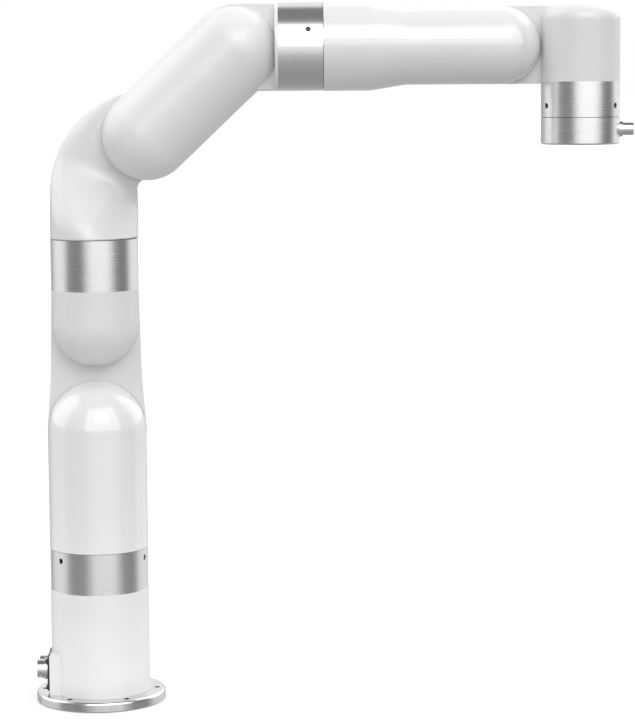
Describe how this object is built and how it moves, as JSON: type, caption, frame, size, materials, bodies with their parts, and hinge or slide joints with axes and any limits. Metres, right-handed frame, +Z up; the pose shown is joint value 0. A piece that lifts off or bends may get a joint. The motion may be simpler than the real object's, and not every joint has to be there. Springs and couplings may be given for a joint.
{
  "type": "collaborative robot arm",
  "caption": "Slim collaborative robot arm with turning and bending joints, white tube housings, metal joint rings and a round tool flange.",
  "frame": {"origin": "centre of the base flange's underside", "axes": "+Z up along the base turn axis, +X along the level forearm, +Y to the side on which the upper arm passes the shoulder"},
  "size_m": [0.5852, 0.126, 0.6794],
  "materials": {
    "flange_metal": "turned and polished",
    "brushed_ring": "brushed around the ring",
    "white_paint": "satin white paint",
    "gloss_white": "gloss white paint",
    "panel_plastic": "matte",
    "connector_chrome": "polished",
    "screw_steel": "blackened",
    "circuit_board": "solder mask",
    "motor_metal": "black",
    "gear_steel": "ground",
    "seal_rubber": "matte"
  },
  "bodies": {
    "base": {"base_flange": "flange_metal", "base_flange_screws": "screw_steel", "base_housing": "white_paint", "base_ring": "brushed_ring", "base_ring_screws": "screw_steel", "connector_panel": "panel_plastic", "connector_panel_screws": "screw_steel", "power_connector": "connector_chrome", "network_connector": "connector_chrome", "control_board": "circuit_board", "base_turn_motor": "motor_metal", "base_turn_gear_ring": "gear_steel", "base_turn_drive_board": "circuit_board", "base_turn_seal": "seal_rubber"},
    "shoulder_link": {"shoulder_housing": "gloss_white", "base_turn_gear_hub": "gear_steel", "shoulder_motor": "motor_metal", "shoulder_gear_ring": "gear_steel", "shoulder_drive_board": "circuit_board", "shoulder_seal": "seal_rubber"},
    "upper_arm": {"upper_arm_housing": "white_paint", "upper_arm_ring": "brushed_ring", "shoulder_gear_hub": "gear_steel", "arm_roll_motor": "motor_metal", "arm_roll_gear_ring": "gear_steel", "arm_roll_drive_board": "circuit_board", "arm_roll_seal": "seal_rubber"},
    "lower_elbow": {"lower_elbow_housing": "white_paint", "arm_roll_gear_hub": "gear_steel", "elbow_motor": "motor_metal", "elbow_gear_ring": "gear_steel", "elbow_drive_board": "circuit_board", "elbow_seal": "seal_rubber"},
    "upper_elbow": {"upper_elbow_housing": "gloss_white", "upper_elbow_ring": "brushed_ring", "upper_elbow_ring_screws": "screw_steel", "elbow_gear_hub": "gear_steel", "forearm_roll_motor": "motor_metal", "forearm_roll_gear_ring": "gear_steel", "forearm_roll_drive_board": "circuit_board", "forearm_roll_seal": "seal_rubber"},
    "forearm": {"forearm_housing": "gloss_white", "forearm_roll_gear_hub": "gear_steel", "wrist_motor": "motor_metal", "wrist_gear_ring": "gear_steel", "wrist_drive_board": "circuit_board", "wrist_seal": "seal_rubber"},
    "wrist_link": {"wrist_housing": "white_paint", "wrist_ring": "brushed_ring", "wrist_ring_screws": "screw_steel", "wrist_gear_hub": "gear_steel", "tool_turn_motor": "motor_metal", "tool_turn_gear_ring": "gear_steel", "tool_turn_drive_board": "circuit_board", "tool_turn_seal": "seal_rubber"},
    "tool_link": {"tool_flange": "flange_metal", "tool_connector": "connector_chrome", "tool_board": "circuit_board", "tool_turn_gear_hub": "gear_steel"}
  },
  "joints": [
    {"name": "base_turn", "type": "hinge", "parent": "base", "child": "shoulder_link", "pos_m": [0, 0, 0.1514], "axis": [0, 0, 1], "range_deg": [-360, 360]},
    {"name": "shoulder", "type": "hinge", "parent": "shoulder_link", "child": "upper_arm", "pos_m": [0, 0, 0.267], "axis": [0, 1, 0], "range_deg": [-118, 120]},
    {"name": "arm_roll", "type": "hinge", "parent": "upper_arm", "child": "lower_elbow", "pos_m": [0, 0, 0.4536], "axis": [0, 0, 1], "range_deg": [-360, 360]},
    {"name": "elbow", "type": "hinge", "parent": "lower_elbow", "child": "upper_elbow", "pos_m": [0.0525, 0, 0.553], "axis": [0, -1, 0], "range_deg": [-85, 115]},
    {"name": "forearm_roll", "type": "hinge", "parent": "upper_elbow", "child": "forearm", "pos_m": [0.2223, 0, 0.6368], "axis": [1, 0, 0], "range_deg": [-360, 360]},
    {"name": "wrist", "type": "hinge", "parent": "forearm", "child": "wrist_link", "pos_m": [0.395, 0, 0.6368], "axis": [0, 1, 0], "range_deg": [-90, 88]},
    {"name": "tool_turn", "type": "hinge", "parent": "wrist_link", "child": "tool_link", "pos_m": [0.471, 0, 0.5678], "axis": [0, 0, -1], "range_deg": [-360, 360]}
  ]
}
